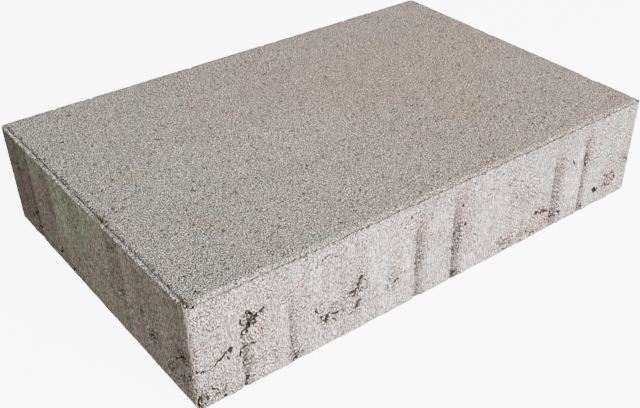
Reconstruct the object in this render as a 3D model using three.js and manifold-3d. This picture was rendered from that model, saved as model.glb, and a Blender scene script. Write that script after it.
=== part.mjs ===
// A pressed concrete paving stone, cast as one solid block. The wearing face on top has a narrow
// bevel all round, with a thin moulding ridge outside it. The sides carry the grooves that the
// mould drags down them and a few open voids left between the coarse stones.
//
// Millimetres, +Z up. The origin is the middle of the underside, +X runs along the length and
// -Y is the long side with the most grooves.

import * as THREE from "three";
import { mergeVertices } from "three/addons/utils/BufferGeometryUtils.js";
import Module from "manifold-3d";

// The block.
const LENGTH = 300;
const WIDTH = 200;
const HEIGHT = 60;
const CORNER_RADIUS = 3;

// The upper edge, from the outside in: ridge, valley, bevel, wearing face.
const RIDGE_WIDTH = 1.6;
const RIDGE_RISE = 0.8; // the ridge's top above the valley
const VALLEY_WIDTH = 0.4;
const BEVEL_WIDTH = 2;
const BEVEL_DEPTH = 2; // the valley below the wearing face

// The side grooves: a steep wall on the left, seen from outside, and a slow rise to the right.
const GROOVE_STEEP_SHARE = 0.15; // the steep wall's share of the groove's width
const GROOVE_RUN_OUT = 10; // the height over which a groove fades out at its upper end

// How far a cutter reaches past the face that it cuts.
const CLEAR = 1;

const CORNER_SEGMENTS = 6;
const SMALLEST_RADIUS = 0.2;

// Seen from outside, each face's marks are placed from its left lower corner: `along` is a share
// of the face's length and `up` a share of the height, so that they stay on the face when its
// size changes. Their own sizes are in millimetres, and `tip` is a turn in degrees.
const FACES = [
  {
    turn: 0,
    span: LENGTH,
    out: WIDTH / 2,
    grooves: [
      { along: 0.082, width: 5, depth: 0.7, start: 15 },
      { along: 0.166, width: 6, depth: 0.7, start: 14 },
      { along: 0.423, width: 8, depth: 0.9, start: 10 },
      { along: 0.508, width: 10, depth: 1, start: 9 },
      { along: 0.762, width: 13, depth: 1.1, start: 8 },
      { along: 0.85, width: 6, depth: 1, start: 8 },
    ],
    voids: [
      { along: 0.102, up: 0.63, long: 11, tall: 13, deep: 4, tip: 20 },
      { along: 0.094, up: 0.4, long: 9, tall: 3.6, deep: 2.5, tip: 0 },
      { along: 0.035, up: 0.11, long: 8, tall: 9, deep: 2, tip: 30 },
      { along: 0.245, up: 0.29, long: 10, tall: 6, deep: 3, tip: 15 },
      { along: 0.298, up: 0.47, long: 10, tall: 6, deep: 3, tip: 40 },
      { along: 0.302, up: 0.25, long: 7, tall: 5, deep: 2, tip: 0 },
      { along: 0.742, up: 0.24, long: 9, tall: 4, deep: 2.5, tip: -15 },
      { along: 0.778, up: 0.12, long: 10, tall: 5, deep: 2.5, tip: 5 },
      { along: 0.86, up: 0.56, long: 5, tall: 10, deep: 3, tip: -15 },
      { along: 0.903, up: 0.175, long: 6, tall: 6.5, deep: 3.5, tip: 0 },
    ],
    chips: [
      { along: 0.175, long: 6, tall: 8, deep: 3 },
      { along: 0.52, long: 7, tall: 6, deep: 3 },
    ],
  },
  {
    turn: 90,
    span: WIDTH,
    out: LENGTH / 2,
    grooves: [
      { along: 0.21, width: 9, depth: 0.9, start: 12 },
      { along: 0.58, width: 7, depth: 0.8, start: 10 },
      { along: 0.79, width: 11, depth: 0.9, start: 14 },
    ],
    voids: [
      { along: 0.33, up: 0.35, long: 9, tall: 6, deep: 3, tip: 20 },
      { along: 0.66, up: 0.55, long: 6, tall: 7, deep: 2.5, tip: 0 },
    ],
    chips: [{ along: 0.47, long: 8, tall: 6, deep: 3 }],
  },
  {
    turn: 180,
    span: LENGTH,
    out: WIDTH / 2,
    grooves: [
      { along: 0.13, width: 8, depth: 0.9, start: 10 },
      { along: 0.31, width: 6, depth: 0.8, start: 15 },
      { along: 0.47, width: 12, depth: 1, start: 9 },
      { along: 0.71, width: 7, depth: 0.8, start: 12 },
      { along: 0.86, width: 10, depth: 1, start: 10 },
    ],
    voids: [
      { along: 0.2, up: 0.3, long: 8, tall: 5, deep: 3, tip: 10 },
      { along: 0.4, up: 0.55, long: 6, tall: 8, deep: 3, tip: -20 },
      { along: 0.64, up: 0.22, long: 10, tall: 6, deep: 3, tip: 15 },
      { along: 0.8, up: 0.5, long: 6, tall: 5, deep: 2.5, tip: 0 },
    ],
    chips: [{ along: 0.35, long: 7, tall: 6, deep: 3 }],
  },
  {
    turn: 270,
    span: WIDTH,
    out: LENGTH / 2,
    grooves: [
      { along: 0.11, width: 11, depth: 0.8, start: 14 },
      { along: 0.245, width: 11, depth: 0.6, start: 10 },
      { along: 0.665, width: 8, depth: 0.6, start: 16 },
    ],
    voids: [
      { along: 0.128, up: 0.275, long: 11, tall: 7, deep: 3, tip: 15 },
      { along: 0.278, up: 0.135, long: 5, tall: 5, deep: 2, tip: 0 },
      { along: 0.555, up: 0.39, long: 4, tall: 6, deep: 2, tip: 10 },
      { along: 0.795, up: 0.3, long: 8, tall: 6, deep: 2, tip: 10 },
      { along: 0.92, up: 0.4, long: 11, tall: 8, deep: 2.5, tip: 35 },
    ],
    chips: [{ along: 0.115, long: 6, tall: 5, deep: 2 }],
  },
];

const wasm = await Module();
wasm.setup();

// A closed three.js geometry as a manifold-3d solid.
function solidOf(geometry) {
  const bare = geometry.clone();
  bare.deleteAttribute("normal");
  bare.deleteAttribute("uv");
  const merged = mergeVertices(bare);
  return new wasm.Manifold(
    new wasm.Mesh({
      numProp: 3,
      vertProperties: merged.attributes.position.array,
      triVerts: new Uint32Array(merged.index.array),
    }),
  );
}

// A manifold-3d solid as a three.js geometry.
function geometryOf(solid) {
  const { vertProperties, triVerts } = solid.getMesh();
  const geometry = new THREE.BufferGeometry();
  geometry.setAttribute("position", new THREE.BufferAttribute(vertProperties, 3));
  geometry.setIndex(new THREE.BufferAttribute(triVerts, 1));
  geometry.computeVertexNormals();
  return geometry;
}

// The block's plan, drawn in by `inset` all round.
function plan(inset) {
  const x = LENGTH / 2 - inset;
  const y = WIDTH / 2 - inset;
  const r = Math.max(CORNER_RADIUS - inset, SMALLEST_RADIUS);
  const quarter = Math.PI / 2;
  const shape = new THREE.Shape();
  shape.moveTo(-x + r, -y);
  shape.absarc(x - r, -y + r, r, -quarter, 0, false);
  shape.absarc(x - r, y - r, r, 0, quarter, false);
  shape.absarc(-x + r, y - r, r, quarter, 2 * quarter, false);
  shape.absarc(-x + r, -y + r, r, 2 * quarter, 3 * quarter, false);
  return shape;
}

// A plain upright slab of the plan between two heights.
function slab(inset, bottom, top) {
  const geometry = new THREE.ExtrudeGeometry(plan(inset), {
    depth: top - bottom,
    bevelEnabled: false,
    curveSegments: CORNER_SEGMENTS,
  });
  return solidOf(geometry.translate(0, 0, bottom));
}

// The block with its ridge, valley and bevelled wearing face.
function block() {
  const valley = HEIGHT - BEVEL_DEPTH;
  const ridgeTop = valley + RIDGE_RISE;
  const core = slab(0, 0, ridgeTop);
  const tray = slab(RIDGE_WIDTH, valley, ridgeTop + CLEAR);
  const bury = HEIGHT / 4; // how far the bevelled piece reaches down inside the core
  const geometry = new THREE.ExtrudeGeometry(plan(RIDGE_WIDTH + VALLEY_WIDTH + BEVEL_WIDTH), {
    depth: bury,
    bevelEnabled: true,
    bevelThickness: BEVEL_DEPTH,
    bevelSize: BEVEL_WIDTH,
    bevelSegments: 1,
    curveSegments: CORNER_SEGMENTS,
  });
  const wearingFace = solidOf(geometry.translate(0, 0, valley - bury));
  return core.subtract(tray).add(wearingFace);
}

// Brings a cutter from a face's own frame, +X to the right, +Y into the stone, to its place.
function ontoFace(geometry, face, along, up) {
  geometry.translate((along - 0.5) * face.span, -face.out, up * HEIGHT);
  geometry.rotateZ(THREE.MathUtils.degToRad(face.turn));
  return solidOf(geometry);
}

// A three-sided prism that stands in the face. It leans out of the face towards its upper end,
// so the groove grows narrower and shallower there until it is gone.
function grooveCutter(face, { along, width, depth, start }) {
  const deepest = new THREE.Vector2(GROOVE_STEEP_SHARE * width, depth);
  const grow = (depth + CLEAR) / depth;
  const left = new THREE.Vector2(0, 0).sub(deepest).multiplyScalar(grow).add(deepest);
  const right = new THREE.Vector2(width, 0).sub(deepest).multiplyScalar(grow).add(deepest);
  const top = HEIGHT - start;
  const geometry = new THREE.ExtrudeGeometry(new THREE.Shape([left, right, deepest]), {
    depth: top + CLEAR,
    bevelEnabled: false,
    steps: Math.ceil((top + CLEAR) / GROOVE_RUN_OUT),
  });
  geometry.translate(0, 0, -CLEAR);
  const position = geometry.attributes.position;
  for (let i = 0; i < position.count; i++) {
    const lean = Math.max(0, 1 - (top - position.getZ(i)) / GROOVE_RUN_OUT);
    position.setY(i, position.getY(i) - lean * (depth + CLEAR / 2));
  }
  return ontoFace(geometry, face, along, 0);
}

// A faceted hollow of the given length, height and depth, centred on the face.
function hollowCutter(face, { along, up, long, tall, deep, tip }) {
  const geometry = new THREE.IcosahedronGeometry(1, 1);
  geometry.scale(long / 2, deep, tall / 2);
  geometry.rotateY(THREE.MathUtils.degToRad(tip));
  return ontoFace(geometry, face, along, up);
}

function pavingStone() {
  let stone = block();
  for (const face of FACES) {
    for (const groove of face.grooves) stone = stone.subtract(grooveCutter(face, groove));
    for (const hollow of face.voids) stone = stone.subtract(hollowCutter(face, hollow));
    for (const chip of face.chips) {
      stone = stone.subtract(hollowCutter(face, { ...chip, up: 0, tip: 0 }));
    }
  }
  const concrete = new THREE.MeshStandardMaterial({
    color: 0xa5a29b,
    roughness: 0.95,
    metalness: 0,
    flatShading: true,
  });
  const mesh = new THREE.Mesh(geometryOf(stone), concrete);
  mesh.name = "paving_stone";
  return mesh;
}

const part = new THREE.Group();
part.add(pavingStone());

export default part;
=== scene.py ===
import functools
import itertools
import math

import bpy
import numpy as np
from mathutils import Matrix, Vector


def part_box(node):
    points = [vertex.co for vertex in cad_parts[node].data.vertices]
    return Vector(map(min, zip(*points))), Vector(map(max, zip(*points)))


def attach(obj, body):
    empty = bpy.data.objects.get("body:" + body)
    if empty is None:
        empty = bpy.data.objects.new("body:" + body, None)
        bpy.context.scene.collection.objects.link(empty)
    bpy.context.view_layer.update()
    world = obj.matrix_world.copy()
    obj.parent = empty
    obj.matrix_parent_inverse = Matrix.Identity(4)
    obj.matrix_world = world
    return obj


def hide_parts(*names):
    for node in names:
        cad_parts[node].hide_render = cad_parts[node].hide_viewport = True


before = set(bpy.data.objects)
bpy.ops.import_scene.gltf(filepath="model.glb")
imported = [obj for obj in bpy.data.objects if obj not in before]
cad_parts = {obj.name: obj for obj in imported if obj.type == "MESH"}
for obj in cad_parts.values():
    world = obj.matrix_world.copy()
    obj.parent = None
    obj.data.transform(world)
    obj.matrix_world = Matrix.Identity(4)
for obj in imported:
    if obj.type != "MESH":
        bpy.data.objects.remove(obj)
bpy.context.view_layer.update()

# A pressed concrete paving stone. The stone is one closed mesh: a fine grid over the block is
# given its rim, grooves, voids and cracks, then Geometry Nodes add the relief that the mould and
# the sand leave all over, and the mesh is thinned where it is flat. Sizes in this file are
# millimetres unless a name ends in _M, and MM turns them into Blender's metres.

MM = 0.001
NODE = "paving_stone"
LOWEST, HIGHEST = (np.array(corner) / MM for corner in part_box(NODE))
LENGTH, WIDTH, HEIGHT = HIGHEST - LOWEST
HALF = np.array((LENGTH, WIDTH)) / 2

CORNER_RADIUS = 3.0

# The rim in section: how far below the wearing face the surface lies at each place across it.
# Places run from 0 at the side over the moulding ridge to 1 in the valley, and from there up the
# bevel to 2 at the wearing face. Each side's ridge and bevel have widths of their own.
RIM_PLACES = (0.0, 0.15, 0.4, 0.7, 1.0, 1.12, 1.3, 1.6, 1.85, 2.0)
RIM_DROPS = (0.9, 0.76, 0.7, 0.84, 1.4, 1.5, 1.3, 0.7, 0.2, 0.0)
LIP_DROP = RIM_DROPS[0]
VALLEY_DROP = max(RIM_DROPS)
RIDGE_DROP = min(RIM_DROPS[:5])
RIDGE_WIDTHS = {"front": 0.8, "right": 1.4, "back": 1.4, "left": 2.1}
BEVEL_WIDTHS = {"front": 2.2, "right": 1.8, "back": 1.8, "left": 1.1}

# Where the ridge is knocked off: x, y and the radius of the missing bit.
NICKS = (
    (-149, 30.4, 1.2), (-148.5, -18, 2.2), (-149, -33, 1.2), (-149, -46, 1.2), (-148.5, -98, 2.0),
    (-124, -99.5, 1.8), (-92.4, -99.5, 1.6), (-84.2, -99.5, 1.8), (-48, -99.5, 1.7), (21, -99.5, 1.3),
    (96, -99.5, 1.5), (149, -40, 1.2), (149, 52, 1.0), (88, 99.5, 1.1), (-31, 99.5, 1.2),
    (-101, 99.5, 1.0),
)

# How far the side draws in at each height above the underside.
SIDE_HEIGHTS = (0.0, 0.5, 1.3)
SIDE_INSETS = (0.5, 0.12, 0.0)

# Grid spacing close to the edges and over the faces.
EDGE_STEP = 0.4
EDGE_BAND = 5.2
FACE_STEP = 0.6
TRIANGLES = 196000  # what the stone is thinned to
KEEP_FACTOR = 0.05  # how strongly the thinning spares the holes

SEED = 7

# Primes that mix the corner of a noise cell and a seed into a random number.
PLACE_PRIMES = (73856093, 19349663, 83492791)
SEED_PRIME, MIXING_PRIME = 2654435761, 1274126177


# ---------------------------------------------------------------- noise
def lattice_noise(points, seed):
    """Smooth noise between -1 and 1 at points (n, 3) given in lattice units."""
    cell = np.floor(points).astype(np.int64)
    part = points - cell
    blend = part * part * (3 - 2 * part)
    total = np.zeros(len(points))
    for corner in itertools.product((0, 1), repeat=3):
        mixed = np.bitwise_xor.reduce((cell + corner) * PLACE_PRIMES, axis=1) ^ (seed * SEED_PRIME)
        mixed = (mixed ^ (mixed >> 13)) * MIXING_PRIME
        value = ((mixed >> 8) & 0xFFFF) / 32767.5 - 1
        total += value * np.prod(np.where(corner, blend, 1 - blend), axis=1)
    return total


def noise(points, size, seed, octaves=1):
    """Noise whose features are about `size` millimetres wide, with finer octaves on request."""
    total = np.zeros(len(points))
    for octave in range(octaves):
        total += lattice_noise(points * (2**octave / size), seed + octave) / 2**octave
    return total / (2 - 0.5 ** (octaves - 1))


def smooth_step(low, high, x):
    t = np.clip((x - low) / (high - low), 0, 1)
    return t * t * (3 - 2 * t)


# ---------------------------------------------------------------- the block as a fine grid
# Each wall of the block: the axis across it, its end of that axis, and whether its quads turn over.
WALLS = {
    "front": (1, 0, False),
    "back": (1, -1, True),
    "left": (0, 0, True),
    "right": (0, -1, False),
    "bed": (2, 0, True),
    "top": (2, -1, False),
}


def grid_lines(span):
    """Lines across a span, close together at both ends."""
    band = np.arange(0, EDGE_BAND, EDGE_STEP)
    count = round((span - 2 * EDGE_BAND) / FACE_STEP)
    middle = np.linspace(EDGE_BAND, span - EDGE_BAND, count + 1)
    return np.concatenate((band, middle, span - band[::-1]))


def block_grid():
    """The block as one closed quad grid: its points, its quads facing out, and each quad's wall."""
    lines = (grid_lines(LENGTH) - LENGTH / 2, grid_lines(WIDTH) - WIDTH / 2, grid_lines(HEIGHT))
    points, quads, walls = [], [], []
    start = 0
    for wall, (across, end, turned) in enumerate(WALLS.values()):
        first, second = (axis for axis in range(3) if axis != across)
        a, b = np.meshgrid(lines[first], lines[second], indexing="ij")
        place = np.full((a.size, 3), lines[across][end])
        place[:, first], place[:, second] = a.ravel(), b.ravel()
        points.append(place)
        index = np.arange(a.size).reshape(a.shape) + start
        quad = np.stack((index[:-1, :-1], index[1:, :-1], index[1:, 1:], index[:-1, 1:]), axis=2)
        quad = quad.reshape(-1, 4)
        quads.append(quad[:, ::-1] if turned else quad)
        walls.append(np.full(len(quad), wall))
        start += a.size
    points = np.concatenate(points)
    whole = np.round(points / EDGE_STEP * 1000).astype(np.int64)
    _, kept, joined = np.unique(whole, axis=0, return_index=True, return_inverse=True)
    return points[kept], joined.ravel()[np.concatenate(quads)], np.concatenate(walls)


def square_to_round(points):
    """Turns the upright edges into arcs; returns the points and which way those on a side face."""
    flat = points[:, :2]
    reach = np.abs(flat) - (HALF - CORNER_RADIUS)
    both = (reach > 0).all(axis=1)
    corner = reach[both]
    scale = corner.max(axis=1) / np.linalg.norm(corner, axis=1)
    moved = points.copy()
    moved[both, :2] -= np.sign(flat[both]) * corner * (1 - scale)[:, None]
    away = np.where(reach > 0, reach, 0) * np.sign(flat)
    away[~both] = np.where(np.abs(flat[~both]) >= HALF, flat[~both], 0)
    size = np.linalg.norm(away, axis=1)
    away[size > 0] /= size[size > 0, None]
    return moved, away


# ---------------------------------------------------------------- marks on the faces
# A face's marks are placed by u, from its left end seen from outside, and w, down from its upper
# edge. On the wearing face the upper edge is the back one. Each mark is a kind, a function that
# says how strong the mark is at u and w, and the part of the face that it can reach.
KINDS = ("groove", "hollow", "rough", "film", "pink", "green", "shade", "rust", "beige")
HOLLOW_SPREAD = 1.08  # drawn radii grow by this, to make up for what the ragged rim takes off
DEEPEST = 3.0  # the depth at which the hollow mark is full

# What makes the marks uneven: the sizes of three noises, and how far the last one shifts a mark.
WANDER_SIZE, CRUMB_SIZE, SHIFT_SIZE = 3.5, 1.3, 2.2
SHIFT = 0.45


def around(places, margin):
    """The part of a face within a margin of the places: its lowest and highest u, then w."""
    low, high = np.min(places, axis=0) - margin, np.max(places, axis=0) + margin
    return low[0], high[0], low[1], high[1]


def groove(start, width, depth, top, bottom=HEIGHT + 9):
    """An upright drag groove: a steep wall at its start and a slow rise over its width."""
    side = 1 if width > 0 else -1

    def cut(u, w, wander, crumb):
        s = (u - start) * side - 0.5 * wander
        section = smooth_step(0, 1.1, s) * np.clip(1 - s / abs(width), 0, 1) ** 1.2
        run = smooth_step(top - 3, top + 20, w + wander) * smooth_step(bottom, bottom - 6, w + wander)
        return depth * section * run

    low, high = sorted((start - 3 * side, start + width + 3 * side))
    return ("groove", cut, (low, high, top - 6, HEIGHT))


def hollow(depth, *stops):
    """A ragged hole or crack along stops of (u, w, radius)."""
    stops = np.array(stops, dtype=float)
    stops[:, 2] *= HOLLOW_SPREAD
    if len(stops) == 1:
        stops = np.concatenate((stops, stops + (0.01, 0, 0)))
    widest = stops[:, 2].max()

    def cut(u, w, wander, crumb):
        distance = np.full(len(u), np.inf)
        for (u0, w0, r0), (u1, w1, r1) in zip(stops[:-1], stops[1:]):
            du, dw = u1 - u0, w1 - w0
            t = np.clip(((u - u0) * du + (w - w0) * dw) / (du * du + dw * dw), 0, 1)
            away = np.hypot(u - u0 - t * du, w - w0 - t * dw)
            distance = np.minimum(distance, away - r0 - t * (r1 - r0))
        distance -= (0.4 + 0.5 * widest) * crumb
        return depth * smooth_step(0.25, -0.5 * widest, distance)

    return ("hollow", cut, around(stops, 2 * widest + 2))


def ring(u0, w0, radius, width, depth):
    """The print of a round stone: a shallow ring."""

    def cut(u, w, wander, crumb):
        away = np.abs(np.hypot(u - u0, w - w0) - radius) + 0.3 * crumb
        return depth * smooth_step(width, 0, away)

    return ("hollow", cut, around([(u0, w0)], radius + width + 2))


def patch(kind, u0, w0, half_long, half_tall, strength=1.0):
    """A soft-edged patch of bare sand, cement film, stain or shade; shade patches are partly darker
    concrete and partly painted shade.
    """

    def cut(u, w, wander, crumb):
        away = np.hypot((u - u0) / half_long, (w - w0) / half_tall) + 0.4 * wander + 0.2 * crumb
        return strength * smooth_step(1.2, 0.5, away)

    return (kind, cut, around([(u0, w0)], (1.7 * half_long, 1.7 * half_tall)))


def several(make, *given):
    """Marks of one make, each given as the numbers that make one."""
    return [make(*numbers) for numbers in given]


def patches(kind, *given):
    """Patches of one kind, each given as u, w, half its length, half its height and its strength."""
    return [patch(kind, *numbers) for numbers in given]


def field(kind, strength, soft, *corners):
    """A stain with straight edges between corners of (u, w), `soft` millimetres from full to none."""

    def cut(u, w, wander, crumb):
        beyond = np.full(len(u), -np.inf)
        for (u0, w0), (u1, w1) in zip(corners, corners[1:] + corners[:1]):
            length = math.hypot(u1 - u0, w1 - w0)
            beyond = np.maximum(beyond, ((u - u0) * (w1 - w0) - (w - w0) * (u1 - u0)) / length)
        return strength * smooth_step(soft / 2, -soft / 2, beyond + 0.2 * soft * wander)

    return (kind, cut, around(corners, 1 + soft))


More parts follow.
